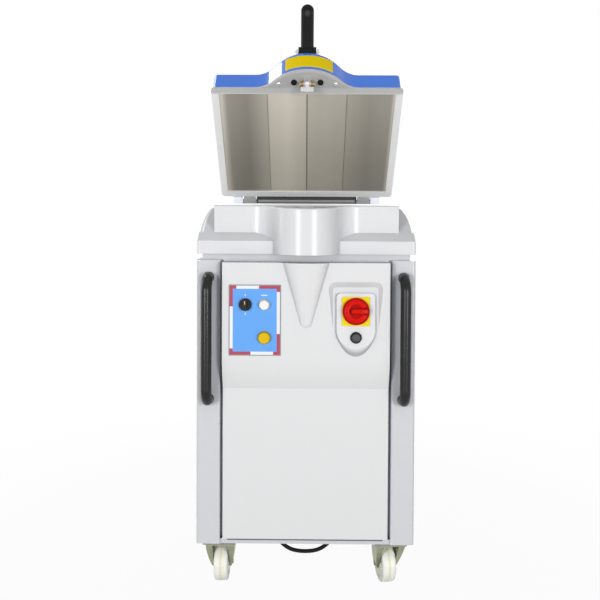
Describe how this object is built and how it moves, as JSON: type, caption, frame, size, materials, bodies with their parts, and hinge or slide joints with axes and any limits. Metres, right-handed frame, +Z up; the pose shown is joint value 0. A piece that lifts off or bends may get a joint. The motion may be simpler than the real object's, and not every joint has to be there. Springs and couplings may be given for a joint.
{
  "type": "dough divider",
  "caption": "Hydraulic dough divider cabinet on castors with a nosed hinged lid, square tank, rising platen and knives, console controls and bow handles.",
  "frame": {"origin": "on the floor, under the middle of the cabinet", "axes": "+Z up, -Y towards the operator's front, +X to the operator's right"},
  "size_m": [0.574, 0.657, 1.5905],
  "materials": {
    "cabinet_white": "smooth gloss powder coat",
    "cover_white": "gloss moulded cover",
    "lid_blue": "high gloss moulded cover",
    "frame_grey": "satin casting",
    "steel": "brushed",
    "black_plastic": "satin black",
    "plate_blue": "printed film",
    "plinth_grey": "satin",
    "yellow": "gloss",
    "red": "gloss",
    "button_white": "gloss",
    "nylon": "satin",
    "zinc": "yellow zinc plate",
    "brass": "polished",
    "rubber": "matt",
    "spring_box_brown": "satin",
    "machinery_grey": "semi gloss"
  },
  "bodies": {
    "cabinet": {"base_pan": "cabinet_white", "left_side_panel": "cabinet_white", "right_side_panel": "cabinet_white", "rear_panel": "cabinet_white", "front_panel": "cabinet_white", "neck_band": "cabinet_white", "top_cover": "cover_white", "hinge_blocks": "cover_white", "dough_tank": "steel", "hinge_bar": "steel", "guide_columns": "steel", "latch_striker": "steel", "hose_fittings": "steel", "castor_plates": "steel", "pressure_pipe": "steel", "left_side_handle": "black_plastic", "right_side_handle": "black_plastic", "contact_blocks": "black_plastic", "cable_gland": "black_plastic", "button_bezels": "black_plastic", "control_plate": "plate_blue", "switch_plinth": "plinth_grey", "switch_plate": "yellow", "oil_hose": "rubber", "spring_box": "spring_box_brown", "chassis_frame": "machinery_grey", "lift_cylinder": "machinery_grey", "knife_cylinders": "machinery_grey", "oil_tank": "machinery_grey", "pump_unit": "machinery_grey", "valve_block": "machinery_grey", "control_box": "machinery_grey"},
    "lid": {"lid_cover": "lid_blue", "lid_frame": "frame_grey", "press_plate": "steel", "nose_plate": "frame_grey", "hinge_arms": "steel", "lid_buffers": "rubber", "latch_pin": "brass", "handle_ears": "steel"},
    "lever": {"lid_handle": "black_plastic"},
    "latch": {"latch_hook": "steel"},
    "platen": {"pusher_blocks": "nylon", "platen_carrier": "frame_grey", "piston_rod": "steel"},
    "knives": {"knife_grid": "steel", "knife_ring": "frame_grey"},
    "selector": {"selector_knob": "black_plastic"},
    "white_push": {"white_button": "button_white"},
    "yellow_push": {"yellow_button": "yellow"},
    "black_push": {"black_button": "black_plastic"},
    "main_switch": {"switch_knob": "red"},
    "front_left_swivel": {"front_left_fork": "zinc"},
    "front_left_roller": {"front_left_wheel": "nylon"},
    "front_right_swivel": {"front_right_fork": "zinc"},
    "front_right_roller": {"front_right_wheel": "nylon"},
    "rear_left_swivel": {"rear_left_fork": "zinc"},
    "rear_left_roller": {"rear_left_wheel": "nylon"},
    "rear_right_swivel": {"rear_right_fork": "zinc"},
    "rear_right_roller": {"rear_right_wheel": "nylon"}
  },
  "joints": [
    {"name": "lid_hinge", "type": "hinge", "parent": "cabinet", "child": "lid", "pos_m": [0, 0.159, 1.043], "axis": [-1, 0, 0], "range_deg": [-45, 0]},
    {"name": "lid_handle_turn", "type": "hinge", "parent": "lid", "child": "lever", "pos_m": [0, -0.1143, 1.4556], "axis": [1, 0, 0], "range_deg": [0, 25]},
    {"name": "latch_turn", "type": "hinge", "parent": "lid", "child": "latch", "pos_m": [0, -0.1896, 1.35766], "axis": [1, 0, 0], "range_deg": [-15, 0]},
    {"name": "platen_lift", "type": "slide", "parent": "cabinet", "child": "platen", "axis": [0, 0, 1], "range_m": [0, 0.095]},
    {"name": "knife_lift", "type": "slide", "parent": "cabinet", "child": "knives", "axis": [0, 0, 1], "range_m": [0, 0.096]},
    {"name": "selector_turn", "type": "hinge", "parent": "cabinet", "child": "selector", "pos_m": [-0.1565, -0.312, 0.771], "axis": [0, -1, 0], "range_deg": [-45, 45]},
    {"name": "white_press", "type": "slide", "parent": "cabinet", "child": "white_push", "axis": [0, 1, 0], "range_m": [0, 0.004], "stiffness_N_per_m": 600, "springref_m": -0.002},
    {"name": "yellow_press", "type": "slide", "parent": "cabinet", "child": "yellow_push", "axis": [0, 1, 0], "range_m": [0, 0.004], "stiffness_N_per_m": 600, "springref_m": -0.002},
    {"name": "black_press", "type": "slide", "parent": "cabinet", "child": "black_push", "axis": [0, 0.9925, -0.1219], "range_m": [0, 0.004], "stiffness_N_per_m": 600, "springref_m": -0.002},
    {"name": "main_switch_turn", "type": "hinge", "parent": "cabinet", "child": "main_switch", "pos_m": [0.1285, -0.31631, 0.75512], "axis": [0, -0.9925, 0.1219], "range_deg": [-90, 0]},
    {"name": "front_left_swivel_turn", "type": "hinge", "parent": "cabinet", "child": "front_left_swivel", "pos_m": [-0.227, -0.228, 0.134], "axis": [0, 0, 1], "continuous": true},
    {"name": "front_left_wheel_spin", "type": "hinge", "parent": "front_left_swivel", "child": "front_left_roller", "pos_m": [-0.227, -0.192, 0.05], "axis": [1, 0, 0], "continuous": true},
    {"name": "front_right_swivel_turn", "type": "hinge", "parent": "cabinet", "child": "front_right_swivel", "pos_m": [0.227, -0.228, 0.134], "axis": [0, 0, 1], "continuous": true},
    {"name": "front_right_wheel_spin", "type": "hinge", "parent": "front_right_swivel", "child": "front_right_roller", "pos_m": [0.22075, -0.19255, 0.05], "axis": [0.9848, 0.1736, 0], "continuous": true},
    {"name": "rear_left_swivel_turn", "type": "hinge", "parent": "cabinet", "child": "rear_left_swivel", "pos_m": [-0.227, 0.192, 0.134], "axis": [0, 0, 1], "continuous": true},
    {"name": "rear_left_wheel_spin", "type": "hinge", "parent": "rear_left_swivel", "child": "rear_left_roller", "pos_m": [-0.227, 0.228, 0.05], "axis": [1, 0, 0], "continuous": true},
    {"name": "rear_right_swivel_turn", "type": "hinge", "parent": "cabinet", "child": "rear_right_swivel", "pos_m": [0.227, 0.192, 0.134], "axis": [0, 0, 1], "continuous": true},
    {"name": "rear_right_wheel_spin", "type": "hinge", "parent": "rear_right_swivel", "child": "rear_right_roller", "pos_m": [0.227, 0.228, 0.05], "axis": [1, 0, 0], "continuous": true}
  ],
  "couplings": [
    {"joint": "latch_turn", "follows": "lid_handle_turn", "ratio": -0.6}
  ]
}
